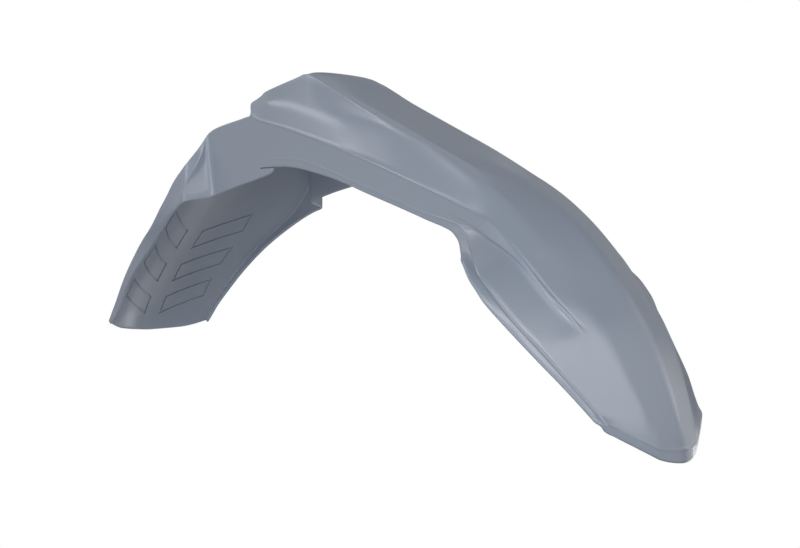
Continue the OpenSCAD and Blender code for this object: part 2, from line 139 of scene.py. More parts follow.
def character_lines(m):
    """The ten lines from the middle of the shell out to its free edge, in millimetres.

    Each row is a station number, counted from the tail to the nose, then X, half width and Z.
    """
    neck, wing, nose = m["neck_w"] / 2, m["wing_w"] / 2, m["nose_w"] / 2
    flare, tail, strip = m["flare_w"] / 2, m["tail_w"] / 2, m["back_w"] / 2
    ridge, hump, lip, arch = m["ridge_w"] / 2, m["hump_h"], m["lip_h"], m["arch_drop"]
    step = m["pocket_step"]
    rear = -DECK_BEHIND * m["deck_l"]
    front = rear + m["deck_l"]
    foot, front_foot = m["deck_w"] / 2, m["deck_front_w"] / 2

    def nose_at(back, half, up):
        return m["beak_reach"] - back, half, up - m["beak_drop"]

    def end_at(forward, half, up):
        return forward - m["tail_reach"], half, up - m["tail_drop"]

    def mix(a, b, f):
        return a + (b - a) * f

    centre = [
        (0, *end_at(0, 0, 0)),
        (1, *end_at(7, 0, 19)),
        (2, *end_at(32, 0, 58)),
        (3, *end_at(73, 0, 102)),
        (4, *end_at(119, 0, 147)),
        (5, rear - 40, 0, -22),
        (5.6, rear - 17, 0, -4),
        (6.2, rear, 0, 0),
        (12, front, 0, 0),
        (12.2, front + 2, 0, 4),
        (12.8, front + 8, 0, hump - 5),
        (13, front + 11, 0, hump),
        (13.3, front + 17, 0, hump - 1.2),
        (14, 124, 0, hump - 26),
        (15, 177, 0, hump - 53),
        (16, 240, 0, hump - 84),
        (17, *nose_at(175, 0, 246)),
        (18, *nose_at(137, 0, 222)),
        (19, *nose_at(103, 0, 194)),
        (20, *nose_at(70, 0, 158)),
        (21, *nose_at(43, 0, 117)),
        (22, *nose_at(24, 0, 80)),
        (23, *nose_at(8, 0, 38)),
        (23.6, *nose_at(1.2, 0, lip + 1)),
        (24, *nose_at(0, 0, 0)),
    ]
    deck = [
        (0, *end_at(1, strip, 1)),
        (1, *end_at(8, strip, 19)),
        (2, *end_at(33, strip, 58)),
        (3, *end_at(76, strip, 103)),
        (4, *end_at(122, strip + 8, 147)),
        (5, rear - 38, strip + 18, -23),
        (5.6, rear - 15, strip + 27, -5),
        (6.2, rear, foot, 0),
        (9, 8, mix(foot, front_foot, 0.4), 0),
        (12, front, front_foot, 0),
        (12.2, front + 2, front_foot, 4),
        (12.8, front + 8, ridge - 22, hump - 5.5),
        (13, front + 11, ridge - 23, hump - 0.5),
        (13.3, front + 17, ridge - 24, hump - 1.8),
        (14, 124, ridge - 24, hump - 26.5),
        (15, 177, ridge - 24, hump - 53.5),
        (16, 240, ridge - 26, hump - 84.5),
        (23.6, *nose_at(4, ridge - 33.5, lip + 1.5)),
        (24, *nose_at(3, ridge - 34, 1.7)),
    ]
    brow = [
        (0, *end_at(5, mix(strip, tail, 0.3), 2)),
        (1, *end_at(12, mix(strip, tail, 0.3), 20)),
        (2, *end_at(37, mix(strip, tail, 0.3), 58)),
        (3, *end_at(80, mix(strip, tail, 0.4), 101)),
        (4, *end_at(128, mix(strip, flare, 0.4), 143)),
        (5, rear - 32, mix(strip, flare, 0.45), -24),
        (5.6, rear - 13, neck - 12, -6),
        (6.2, rear, neck - 9, 1),
        (7, rear + 8, neck - 9, 4),
        (8, -3, neck - 9, 10.5),
        (9, 7, neck - 9, 13.5),
        (9.5, 9, neck - 11, 24),
        (10, 15, neck - 13, 28.5),
        (11, 24, neck - 15, 35),
        (12, front, ridge - 5, hump - 6.5),
        (12.8, front + 8, ridge - 7, hump - 4.5),
        (13, front + 11, ridge - 8, hump - 2),
        (13.3, front + 16, ridge - 8, hump - 4),
        (14, 124, ridge - 8, hump - 28),
        (15, 177, ridge - 8, hump - 53.8),
        (16, 240, ridge - 12, hump - 84.8),
        (23.6, *nose_at(6, ridge - 27, lip + 2.5)),
        (24, *nose_at(5.8, ridge - 27.5, 3.2)),
    ]
    ridge_line = [
        (0, *end_at(9, mix(strip, tail, 0.5), 3)),
        (1, *end_at(16, mix(strip, tail, 0.5), 21)),
        (2, *end_at(41, mix(strip, tail, 0.5), 58)),
        (3, *end_at(86, mix(strip, tail, 0.6), 100)),
        (4, *end_at(134, mix(strip, flare, 0.6), 142)),
        (5, rear - 29, mix(strip, flare, 0.6), -27),
        (5.6, rear - 14, neck - 4, -7.5),
        (6.2, rear - 3, neck - 3.5, 0.5),
        (7, rear + 7, neck - 3, 4.3),
        (8, -3, neck - 3, 10.5),
        (9, 9, neck - 3, 13.3),
        (9.5, 7, neck - 4, 23.5),
        (9.7, 7.5, neck - 4.5, 25.2),
        (10, 14, neck - 6, 28.5),
        (10.5, 19.5, neck - 7.3, 31.7),
        (10.9, 22.4, neck - 8, 34.2),
        (11.1, 25, neck - 8.5, 35.4),
        (12, front, ridge + 2, hump - 6.5),
        (12.8, front + 7, ridge + 0.4, hump - 4.3),
        (13, front + 10, ridge, hump - 4.5),
        (14, 124, ridge, hump - 31),
        (15, 177, ridge, hump - 57),
        (16, 240, ridge - 5, hump - 85.5),
        (23.6, *nose_at(7.2, ridge - 22.2, lip + 3)),
        (24, *nose_at(7.2, ridge - 23.5, 4.2)),
    ]
    shoulder = [
        (0, *end_at(15, mix(strip, tail, 0.75), 6)),
        (1, *end_at(23, mix(strip, tail, 0.75), 23)),
        (2, *end_at(49, mix(strip, tail, 0.8), 58)),
        (3, *end_at(92, mix(strip, tail, 0.9), 98)),
        (4, *end_at(141, mix(strip, flare, 0.8), 138)),
        (5, rear - 25, mix(strip, flare, 0.77), -32),
        (5.6, rear - 13.5, neck + 4, -11.5),
        (6.2, rear - 7.5, neck - 1, -1),
        (7, rear + 6, neck - 0.5, 3.3),
        (8, -3, neck - 0.5, 9),
        (9, 10, neck - 0.8, 12),
        (9.5, 9.3, neck - 3, 17),
        (9.7, 9.8, neck - 3.2, 18.8),
        (10, 17, neck - 3, 20),
        (10.5, 27, neck - 2.6, 22),
        (10.9, 33.4, neck - 2.2, 22.9),
        (11.1, 36.5, neck - 2, 22.7),
        (12, front + 2, neck - 4, 19),
        (13, 88, neck - 4.5, 11),
        (14, 127, neck - 6.5, 2),
        (15, 176, neck - 14.5, -8.5),
        (16, 239, neck - 17, -39),
        (17, *nose_at(177, neck - 17.5, 238)),
        (18, *nose_at(142, neck - 17, 212.5)),
        (19, *nose_at(110.5, neck - 18.5, 182.5)),
        (19.4, *nose_at(98.5, neck - 20, 167)),
        (20, *nose_at(80.5, neck - 19, 143.5)),
        (21, *nose_at(50.5, neck - 23, 109.5)),
        (22, *nose_at(30.5, neck - 27, 71)),
        (23, *nose_at(15.5, neck - 34.5, 36)),
        (23.6, *nose_at(11.6, neck - 33.6, lip + 7.7)),
        (24, *nose_at(11.3, neck - 34.2, 9.2)),
    ]
    crease = [
        (0, *end_at(22, tail, 10)),
        (1, *end_at(33.5, tail + 1, 27)),
        (2, *end_at(57.5, tail + 6.5, 56.5)),
        (3, *end_at(96, tail + 14, 93.5)),
        (3.5, *end_at(117.5, tail + 18.5, 108.5)),
        (4, *end_at(145.5, flare - 3, 132.5)),
        (4.5, *end_at(160.5, flare - 3, 151)),
        (5, rear - 22, flare - 6.5, -37),
        (5.3, rear - 16, flare - 10, -29),
        (5.6, rear - 12, neck + 12, -21),
        (6, rear - 9.5, neck + 3.5, -7.5),
        (6.2, rear - 9, neck + 0.9, -4),
        (6.4, rear - 4.5, neck, -2),
        (7, rear + 5, neck, 2),
        (8, -3, neck, 7.2),
        (9, 10, neck, 10.5),
        (9.5, 11, neck, 11.5),
        (9.7, 12, neck, 12),
        (10, 14.5, neck, 10.7),
        (10.5, 20, neck, 8),
        (10.9, 22.6, neck, 6.7),
        (11.1, 25, neck, 6),
        (12, front, neck, -4),
        (13, 83, neck, -10.5),
        (14, 126, neck, -24.5),
        (15, 183, neck, -45),
        (16, 247, neck, -70),
        (17, *nose_at(183, neck + 1, 216)),
        (18, *nose_at(153, neck + 3, 202)),
        (19, *nose_at(121, neck + 4, 177)),
        (20, *nose_at(90, neck - 1, 143)),
        (20.7, *nose_at(67, neck - 8, 117)),
    ]
    rib = [
        (0, *end_at(23.5, tail, 8.5)),
        (1, *end_at(36, tail + 0.5, 25)),
        (2, *end_at(61, tail + 6, 53)),
        (3, *end_at(103, tail + 12, 90)),
        (4, *end_at(155, flare - 4, 127)),
        (4.5, *end_at(169, flare - 2, 138)),
        (5, rear - 14, flare - 1, -56.5),
        (5.3, rear - 10, flare - 8, -42.5),
        (5.6, rear - 8, neck + 11, -28),
        (6, rear - 8.8, neck + 2.8, -14),
        (6.2, rear - 7.5, neck + 0.8, -12.5),
        (6.4, rear - 4, neck, -13),
        (7, rear + 8, neck, -14),
        (9, 10, neck, -10),
        (11.1, 26, neck, -8),
        (13, 83, neck, -22),
        (15, 180, neck, -53),
        (16, 245, neck, -80),
        (17, *nose_at(182, neck + 1.5, 204)),
        (18, *nose_at(151, neck + 5, 188)),
        (19, *nose_at(120, neck + 7, 171)),
        (20, *nose_at(88, neck + 1.5, 139)),
        (20.7, *nose_at(66, neck - 7.5, 115)),
    ]
    pocket = [
        (0, *end_at(24, tail, 8)),
        (1, *end_at(37, tail + 0.2, 24)),
        (2, *end_at(62, tail + 6, 52.5)),
        (3, *end_at(105, tail + 11.3, 89)),
        (4, *end_at(159, flare - 4, 125.5)),
        (4.5, *end_at(173, flare - 1, 135)),
        (5, rear - 14, flare, -61),
        (5.3, rear - 11, flare - 7, -50),
        (5.6, rear - 9, neck + 13, -42),
        (6, rear - 7, neck + 3.2, -31),
        (6.2, rear - 5, neck + 0.9, -28),
        (6.4, rear - 1, neck, -28),
        (7, rear + 8, neck, -28),
        (9, 10, neck, -24),
        (13, 80, neck, -31),
        (15, 178, neck, -62),
        (16, 243, neck, -88),
        (17, *nose_at(182, neck + 1, 201)),
        (18, *nose_at(150, neck + 6 - step, 185)),
        (19, *nose_at(120, neck + 9 - step, 167)),
        (20, *nose_at(89, neck + 4.5 - step, 136)),
        (20.7, *nose_at(67.5, neck - 5, 113)),
    ]
    groove = [
        (0, *end_at(24.3, tail, 7.7)),
        (1, *end_at(37.7, tail, 23.4)),
        (2, *end_at(62.7, tail + 6, 52.2)),
        (3, *end_at(106, tail + 11, 88.3)),
        (4, *end_at(161, flare - 4.3, 124.5)),
        (4.5, *end_at(175, flare - 0.5, 132.5)),
        (5, rear - 14.2, flare, -67),
        (5.6, rear - 8, neck + 16, -64),
        (6, rear - 3, neck + 4, -60),
        (6.2, rear - 0.5, neck + 1, -59),
        (6.4, rear + 3, neck, -59),
        (7, rear + 12, neck, -58),
        (9, 15, neck, -44),
        (10, 40, neck, 7 - arch),
        (13, 77, neck, 5 - arch),
        (15, 175, neck, -67),
        (16, 243, neck, -91.5),
        (17, *nose_at(190, neck + 1, 201)),
        (18, *nose_at(158, mix(neck, wing, 0.42), 176)),
        (19, *nose_at(125.1, wing - 8.4, 150.6)),
        (20, *nose_at(99.1, mix(wing, nose, 0.27), 120.6)),
        (21, *nose_at(76.1, mix(wing, nose, 0.49), 93.6)),
        (22, *nose_at(53.1, mix(wing, nose, 0.71), 65.6)),
        (23, *nose_at(36.3, nose + 2.5, 42.2)),
        (23.6, *nose_at(29.6, nose - 0.4, lip + 24.7)),
        (24, *nose_at(26.5, nose - 6, 24.8)),
    ]
    edge = [
        (0, *end_at(24.6, tail, 7.4)),
        (1, *end_at(38, tail, 23)),
        (2, *end_at(63, tail + 6, 52)),
        (3, *end_at(107, tail + 10.5, 88)),
        (4, *end_at(162, flare - 4.5, 124)),
        (4.5, *end_at(176, flare - 0.5, 131)),
        (5, rear - 14.4, flare, -72),
        (5.6, rear - 8, neck + 16, -69),
        (6, rear - 3, neck + 4, -67),
        (6.2, rear - 0.3, neck + 1, -65),
        (6.4, rear + 3, neck, -64),
        (7, rear + 18, neck, -61),
        (8, -4, neck, -56),
        (9, 20, neck, -11 - arch),
        (9.8, 42, neck, -4.5 - arch),
        (10, 44, neck, -arch),
        (11, 55, neck, -arch),
        (13, 76, neck, -2 - arch),
        (14, 124, neck, -14 - arch),
        (15, 175, neck, -31.5 - arch),
        (16, 243, neck, -95.5),
        (17, *nose_at(200, neck + 1, 197)),
        (17.5, *nose_at(183, mix(neck, wing, 0.17), 188.5)),
        (18, *nose_at(164, mix(neck, wing, 0.48), 175)),
        (18.5, *nose_at(146, mix(neck, wing, 0.82), 167.5)),
        (19, *nose_at(128, wing, 150)),
        (19.4, *nose_at(119, wing, 139)),
        (20, *nose_at(103, mix(wing, nose, 0.15), 118)),
        (21, *nose_at(79, mix(wing, nose, 0.38), 90.5)),
        (22, *nose_at(55, mix(wing, nose, 0.64), 62.5)),
        (23, *nose_at(38, mix(wing, nose, 0.86), 40.7)),
        (23.6, *nose_at(33, mix(wing, nose, 0.9), 34.8)),
        (24, *nose_at(29.7, nose - 0.6, 28.6)),
    ]
    for line, f in zip((deck, brow, ridge_line), ROOF_SHARES):
        line += rows_between(centre, shoulder, [(i, f) for i in ROOF_STATIONS], ROOF_RISE)
        line.sort()
    for line, (first, later) in zip((crease, rib, pocket), FACE_SHARES):
        shares = [(i, first if i == FACE_STATIONS[0] else later) for i in FACE_STATIONS]
        line += rows_between(shoulder, groove, shares, 0)
    return [centre, deck, brow, ridge_line, shoulder, crease, rib, pocket, groove, edge]


# Share of the deck that lies behind the middle of the bolts
DECK_BEHIND = 0.42
# Stations of the beak's roof, how far it bulges above flat in millimetres, and where deck, brow
# and ridge line run over it, as shares of the way from the centre to the shoulder
ROOF_STATIONS = (17, 18, 19, 20, 21, 22, 23)
ROOF_RISE = 1.0
ROOF_SHARES = (0.4, 0.62, 0.76)
# Stations of the flat face below the beak's shoulder, and where crease, rib and pocket run over
# it, as shares of the way from the shoulder to the rim's groove: at its first station and after
FACE_STATIONS = (21, 22, 23, 23.6, 24)
FACE_SHARES = ((0.25, 0.25), (0.29, 0.4), (0.36, 0.6))
# Sections between one whole station and the next, for a coarse shell
SECTIONS = (2, 2, 2, 3, 3, 5, 3, 2, 2, 4, 3, 2, 5, 4, 3, 3, 3, 4, 4, 3, 3, 2, 2, 10)
# Each coarse section is split into this many
FINENESS = 3
# Points on each rounded fold, and on the flat between one fold and the next
ARC_POINTS = 7
FLAT_POINTS = (4, 3, 4, 5, 5, 5, 2, 8, 3)
# Steps round the half-round rim, and averaging passes that round its corners
RIM_STEPS = 5
RIM_PASSES = 12
# Averaging passes over the directions that place the inner skin, and the least value of one
# plus the dot product that sets how far a fold moves
INNER_PASSES = 3
LEAST_OVERLAP = 0.6
# A fold is cut back by at most this share of the way to its neighbour
CUT_SHARE = 0.46
# Folds sharper than this stay sharp in the shading
SHARP_ANGLE = math.radians(40)
# Stands in for a length of nothing where one is divided by
TINY = 1e-9
# Bead across the nose where the lip turns down: its station, half width in stations and height
LIP_STATION = 23.6
LIP_SPREAD = 0.045
LIP_BEAD = 0.45
# Each fold by station, from the centre line to the free edge: how far it is cut back, and how
# far a thin bead stands on it or, below zero, a thin groove sinks into it, in millimetres
FOLDS = (
    ((0, 6, 0), (6, 6, 0), (12, 4, 0), (14, 20, 0), (16, 14, 0), (18, 10, 0), (24, 9, 0)),
    ((0, 6, 0), (4, 20, 0), (6, 6, 0), (12, 4, 0), (14, 30, 0), (24, 30, 0)),
    ((0, 20, 0), (5, 20, 0), (6, 3, 0), (12, 2.5, 0), (13, 6, 0), (17, 30, 0), (24, 30, 0)),
    ((0, 20, 0), (5, 20, 0), (6, 3, 0), (9, 1.5, 0), (12, 1.6, 0.4), (14, 2, 0.4), (15, 4, 0.2),
     (16, 6, 0), (17, 20, 0), (24, 30, 0)),
    ((0, 20, 0), (5, 20, 0), (6, 2.5, 0), (10.9, 1.5, 0), (11.3, 7, 0), (13, 7, 0), (15, 12, 0),
     (17, 14, 0), (22, 10, 0), (24, 14, 0)),
    ((0, 1.5, 0), (5, 1.2, 0), (6, 1.5, 0), (8.5, 1.2, 0), (9, 1.2, 0.4), (11.2, 1.3, 0.55),
     (17.8, 1.3, 0.55), (18.4, 1.5, 0), (18.9, 1.5, -0.6), (20.6, 1.5, -0.6), (20.9, 8, 0),
     (24, 30, 0)),
    ((0, 1, 0), (5, 1.5, 0), (16, 1.5, 0), (20, 1.2, 0), (20.7, 2, 0), (21, 30, 0), (24, 30, 0)),
    ((0, 1, 0), (5, 3, 0), (16, 1, 0), (17.2, 1, 0.35), (20, 1.2, 0.35), (20.8, 2, 0),
     (21, 30, 0), (24, 30, 0)),
    ((0, 1, 0), (6, 2, 0), (9.5, 2, 0), (10, 2, 0.3), (16, 2, 0.3), (17.2, 1.5, 0.3),
     (18.2, 1.5, 0.3), (18.7, 1.8, -0.8), (23.6, 1.8, -0.8), (24, 1.5, 0)),
)


def monotone_curve(rows, stations):
    """Points of one character line at the given stations.

    Between two rows each coordinate is a cubic. Its slope at a row is the harmonic mean of the
    slopes on both sides, or nothing where they differ in sign, so it never overshoots.
    """
    table = np.array(rows, float)
    knots, values = table[:, 0], table[:, 1:]
    gaps = np.diff(knots)[:, None]
    slopes = np.diff(values, axis=0) / gaps
    before, after = slopes[:-1], slopes[1:]
    same = before * after > 0
    inner = np.where(same, 2 * before * after / np.where(same, before + after, 1), 0)
    tangents = np.vstack([slopes[:1], inner, slopes[-1:]])
    at = np.clip(np.searchsorted(knots, stations, side="right") - 1, 0, len(gaps) - 1)
    gap = gaps[at]
    t = (stations[:, None] - knots[at][:, None]) / gap
    return ((1 + 2 * t) * (1 - t) ** 2 * values[at] + t * (1 - t) ** 2 * gap * tangents[at]
            + t * t * (3 - 2 * t) * values[at + 1] + t * t * (t - 1) * gap * tangents[at + 1])


def unit(vectors):
    """Vectors scaled to length one."""
    return vectors / np.maximum(np.linalg.norm(vectors, axis=-1, keepdims=True), TINY)


def station_list():
    """Station numbers of all sections, from the tail to the nose."""
    counts = np.array(SECTIONS) * FINENESS
    parts = [i + np.arange(n) / n for i, n in enumerate(counts)]
    return np.append(np.concatenate(parts), float(len(SECTIONS)))


def smooth_along(values, passes):
    """Values averaged along the stations with weights 1, 2, 1, the given number of times."""
    for _ in range(passes):
        padded = np.concatenate([values[:1], values, values[-1:]])
        values = (padded[:-2] + 2 * padded[1:-1] + padded[2:]) / 4
    return values


def smooth_round(vectors, passes):
    """Unit vectors averaged round a closed ring in the same way."""
    for _ in range(passes):
        vectors = unit(np.roll(vectors, 1, axis=0) + 2 * vectors + np.roll(vectors, -1, axis=0))
    return vectors


def inner_lines(lines, wall):
    """The same lines one wall further in, where the offset strips on both sides meet.

    The way in is the sum of the two strips' unit normals over one plus their dot product.
    """
    normals = []
    for line, other in zip(lines[:-1], lines[1:]):
        along = np.gradient((line + other) / 2, axis=0)
        normals.append(unit(np.cross(along, other - line)))
    normals = [smooth_along(n, INNER_PASSES) for n in normals]
    before = [normals[0] * MIRROR] + normals
    after = normals + normals[-1:]
    moved = []
    for line, a, b in zip(lines, before, after):
        a, b = unit(a), unit(b)
        overlap = 1 + np.sum(a * b, axis=1, keepdims=True)
        moved.append(line - wall * (a + b) / np.maximum(overlap, LEAST_OVERLAP))
    return moved


def cut_points(line, neighbour, cut):
    """Points on the way from a line to its neighbour, cut away from it, at most about halfway."""
    way = neighbour - line
    span = np.linalg.norm(way, axis=1, keepdims=True)
    return line + way * np.minimum(CUT_SHARE, cut[:, None] / np.maximum(span, TINY))


def bend(start, corner, stop, t, bead):
    """Quadratic curve from start to stop that leans on the corner, at the shares t.

    The bead is added in full halfway, and elsewhere times the square of 4 t (1 - t).
    """
    t = t[None, :, None]
    return ((1 - t) ** 2 * start[:, None] + 2 * t * (1 - t) * corner[:, None]
            + t * t * stop[:, None] + (4 * t * (1 - t)) ** 2 * bead[:, None])


def skin(lines, outward, stations):
    """One skin as a grid of stations by points across, in millimetres.

    Every section runs straight from line to line, and each fold between two straights is a
    quadratic curve, with its bead along the outward directions. The other half is the mirror
    image.
    """
    arc = np.linspace(0, 1, ARC_POINTS)
    parts = []
    leave = None
    for k, line in enumerate(lines[:-1]):
        knots = np.array(FOLDS[k], float)
        cut = np.interp(stations, knots[:, 0], knots[:, 1])
        bead = outward[k] * np.interp(stations, knots[:, 0], knots[:, 2])[:, None]
        stop = cut_points(line, lines[k + 1], cut)
        if k == 0:
            half_arc = np.linspace(0.5, 1, ARC_POINTS // 2 + 1)
            parts.append(bend(stop * MIRROR, line, stop, half_arc, bead))
        else:
            start = cut_points(line, lines[k - 1], cut)
            t = np.linspace(0, 1, FLAT_POINTS[k - 1] + 1)[1:-1]
            parts.append(leave[:, None] + (start - leave)[:, None] * t[None, :, None])
            parts.append(bend(start, line, stop, arc, bead))
        leave = stop
    t = np.linspace(0, 1, FLAT_POINTS[-1] + 1)[1:]
    parts.append(leave[:, None] + (lines[-1] - leave)[:, None] * t[None, :, None])
    half = np.concatenate(parts, axis=1)
    return np.concatenate([half[:, :0:-1] * MIRROR, half], axis=1)


def boundary(rows, cols):
    """Row and column numbers all round a grid, in order."""
    i = np.concatenate([np.zeros(cols - 1, int), np.arange(rows - 1),
                        np.full(cols - 1, rows - 1), np.arange(rows - 1, 0, -1)])
    j = np.concatenate([np.arange(cols - 1), np.full(rows - 1, cols - 1),
                        np.arange(cols - 1, 0, -1), np.zeros(rows - 1, int)])
    return i, j


def grid_quads(index):
    """Quads between neighbouring entries of a grid of vertex numbers."""
    return np.stack([index[:-1, :-1], index[:-1, 1:], index[1:, 1:], index[1:, :-1]],
                    axis=-1).reshape(-1, 4)


def shell_arrays(m):
    """Vertices in millimetres and quads of the closed shell, and the inner skin of its tail.

    The outer lines carry a bead across the nose: its height times the exponential of minus the
    square of the distance in stations over its half width. A half-round rim joins the outer and
    the inner skin all round: middle plus half the way between them times cosine, plus outward
    times sine.
    """
    stations = station_list()
    lines = [monotone_curve(rows, stations) for rows in character_lines(m)]
    inner_set = inner_lines(lines, m["wall"])
    outward = [unit(a - b) for a, b in zip(lines, inner_set)]
    bead = LIP_BEAD * np.exp(-((stations - LIP_STATION) / LIP_SPREAD) ** 2)[:, None]
    beaded = [line + bead * way for line, way in zip(lines[:-1], outward)] + lines[-1:]
    outer = skin(beaded, outward, stations)
    inner = skin(inner_set, np.zeros_like(outward), stations)
    rows, cols = outer.shape[:2]
    numbers = np.arange(rows * cols).reshape(rows, cols)
    i, j = boundary(rows, cols)
    inward_i = np.clip(i, 1, rows - 2)
    inward_j = np.clip(j, 1, cols - 2)
    outward = smooth_round(unit(outer[i, j] - outer[inward_i, inward_j]), RIM_PASSES)
    middle = (outer[i, j] + inner[i, j]) / 2
    half = (outer[i, j] - inner[i, j]) / 2
    angle = np.linspace(0, math.pi, RIM_STEPS + 1)[1:-1, None, None]
    reach = np.linalg.norm(half, axis=1, keepdims=True)
    rim = middle + half * np.cos(angle) + outward * reach * np.sin(angle)
    rim_numbers = 2 * rows * cols + np.arange(rim.shape[0] * len(i)).reshape(rim.shape[:2])
    ring = np.vstack([numbers[i, j], rim_numbers, numbers[i, j] + rows * cols])
    ring = np.hstack([ring, ring[:, :1]])
    points = np.concatenate([outer.reshape(-1, 3), inner.reshape(-1, 3), rim.reshape(-1, 3)])
    quads = np.concatenate([
        grid_quads(numbers)[:, ::-1],
        grid_quads(numbers + rows * cols),
        grid_quads(ring),
    ])
    return points, quads, inner[stations <= TAIL_STATION]


# Last station of the tail, and the lozenge outlines inside it, in millimetres from its
# middle and up from its end
TAIL_STATION = 4
GROOVE_PAIRS = 3
GROOVE_FOOT = 16
GROOVE_HEIGHT = 20
GROOVE_RISE = 20
STEM_HALF = 10
GROOVE_MARGIN = 15
# Steps along each side of a lozenge, and how far its cutter stands out of the skin
GROOVE_STEPS = 12
GROOVE_OVERCUT = 0.5
# How many vertices of the skin place a point on it, and what softens their weights
NEAREST = 3
WEIGHT_SOFTENING = 0.01
# The slit's place below the top of the arch, the front end of the tongue under it, and how far
# the cut runs on past that
SLIT_BELOW = 0.5
TONGUE_X = 44
SLIT_OPEN = 4
# Points round a bolt hole, the first one twice, and round the half circle that ends a slit
HOLE_POINTS = 49
SLIT_END_POINTS = 13


def on_skin(skin_grid, y, z):
    """Points and unit normals of a skin over the places y, z.

    The nearest vertices each give the point where their tangent plane passes over the place,
    and these are averaged with the inverse squares of the distances as weights.
    """
    along = np.gradient(skin_grid, axis=0)
    across = np.gradient(skin_grid, axis=1)
    vertices = skin_grid.reshape(-1, 3)
    normals = unit(np.cross(along, across)).reshape(-1, 3)
    normals *= np.sign(normals[:, :1])
    gap = (y[:, None] - vertices[None, :, 1]) ** 2 + (z[:, None] - vertices[None, :, 2]) ** 2
    near = np.argsort(gap, axis=1)[:, :NEAREST]
    weight = 1 / (np.take_along_axis(gap, near, axis=1) + WEIGHT_SOFTENING)
    v, n = vertices[near], normals[near]
    x = v[..., 0] - (n[..., 1] * (y[:, None] - v[..., 1])
                     + n[..., 2] * (z[:, None] - v[..., 2])) / n[..., 0]
    x = np.sum(weight * x, axis=1) / np.sum(weight, axis=1)
    return np.stack([x, y, z], axis=1), unit(np.sum(weight[..., None] * n, axis=1))


def groove_cutter(skin_grid, m, side, foot):
    """Closed tube along one lozenge outline, with a four-cornered section, as points and faces.

    The section runs from the outline to the same outline moved in by the groove's width, and
    along the skin's normal from the overcut above the skin to the groove's depth below it.
    """
    reach = m["tail_w"] / 2 - GROOVE_MARGIN
    corners = np.array([
        (STEM_HALF, foot), (STEM_HALF, foot + GROOVE_HEIGHT),
        (reach, foot + GROOVE_HEIGHT + GROOVE_RISE), (reach, foot + GROOVE_RISE)], float)
    sides = unit(np.roll(corners, -1, axis=0) - corners)
    before = np.roll(sides, 1, axis=0)
    turn = before[:, 0] * sides[:, 1] - before[:, 1] * sides[:, 0]
    moved = corners + m["groove_w"] * (sides - before) / np.abs(turn)[:, None]
    t = (np.arange(GROOVE_STEPS) / GROOVE_STEPS)[None, :, None]
    rings = []
    for outline in (corners, moved):
        after = np.roll(outline, -1, axis=0)
        path = (outline[:, None] + (after - outline)[:, None] * t).reshape(-1, 2)
        rings.append(on_skin(skin_grid, side * path[:, 0], path[:, 1] - m["tail_drop"]))
    (a, a_normal), (b, b_normal) = rings
    over, depth = GROOVE_OVERCUT, m["groove_depth"]
    section = np.stack([a + over * a_normal, a - depth * a_normal,
                        b - depth * b_normal, b + over * b_normal])
    return tube(section)


def tube(section):
    """A closed ring of sections as points and quads: corner by place along the ring."""
    corners, places = section.shape[:2]
    index = np.arange(corners * places).reshape(corners, places)
    index = np.vstack([index, index[:1]])
    index = np.hstack([index, index[:, :1]])
    return section.reshape(-1, 3), grid_quads(index).tolist()


def prism(outline, axis, low, high):
    """A flat outline drawn out along an axis from low to high, as points and faces."""
    count = len(outline)
    ends = [np.insert(outline, axis, value, axis=1) for value in (low, high)]
    i = np.arange(count)
    j = np.roll(i, -1)
    walls = np.stack([i, j, j + count, i + count], axis=1).tolist()
    return np.vstack(ends), walls + [i[::-1].tolist(), (i + count).tolist()]


def arc_places(middle, radius, start, stop, count):
    """Places on an arc about its middle: cosine and sine times the radius."""
    angle = np.linspace(start, stop, count)[:, None]
    return np.array(middle) + radius * np.hstack([np.cos(angle), np.sin(angle)])


def cutters(m, tail):
    """Everything cut out of the shell: bolt holes, the two slits and the grooves of the tail."""
    shapes = []
    wall, neck = m["wall"], m["neck_w"] / 2
    for x in (-m["bolt_x"] / 2, m["bolt_x"] / 2):
        for y in (-m["bolt_y"] / 2, m["bolt_y"] / 2):
            hole = arc_places((x, y), m["bolt_d"] / 2, 0, 2 * math.pi, HOLE_POINTS)[:-1]
            shapes.append(prism(hole, 2, -2 * wall, 2 * wall))
    half_slit = m["slit_w"] / 2
    height = -m["arch_drop"] - SLIT_BELOW - half_slit
    closed_end = arc_places((TONGUE_X - m["slit_l"], height), half_slit,
                            math.pi / 2, 1.5 * math.pi, SLIT_END_POINTS)
    open_end = [(TONGUE_X + SLIT_OPEN, height - half_slit),
                (TONGUE_X + SLIT_OPEN, height + half_slit)]
    slit = np.vstack([closed_end, open_end])
    for middle in (wall / 2 - neck, neck - wall / 2):
        shapes.append(prism(slit, 1, middle - 1.5 * wall, middle + 1.5 * wall))
    for side in (-1, 1):
        for k in range(GROOVE_PAIRS):
            shapes.append(groove_cutter(tail, m, side, GROOVE_FOOT + k * m["groove_pitch"]))
    points, faces, start = [], [], 0
    for shape_points, shape_faces in shapes:
        points.append(shape_points)
        faces += [[start + v for v in face] for face in shape_faces]
        start += len(shape_points)
    return np.vstack(points), faces


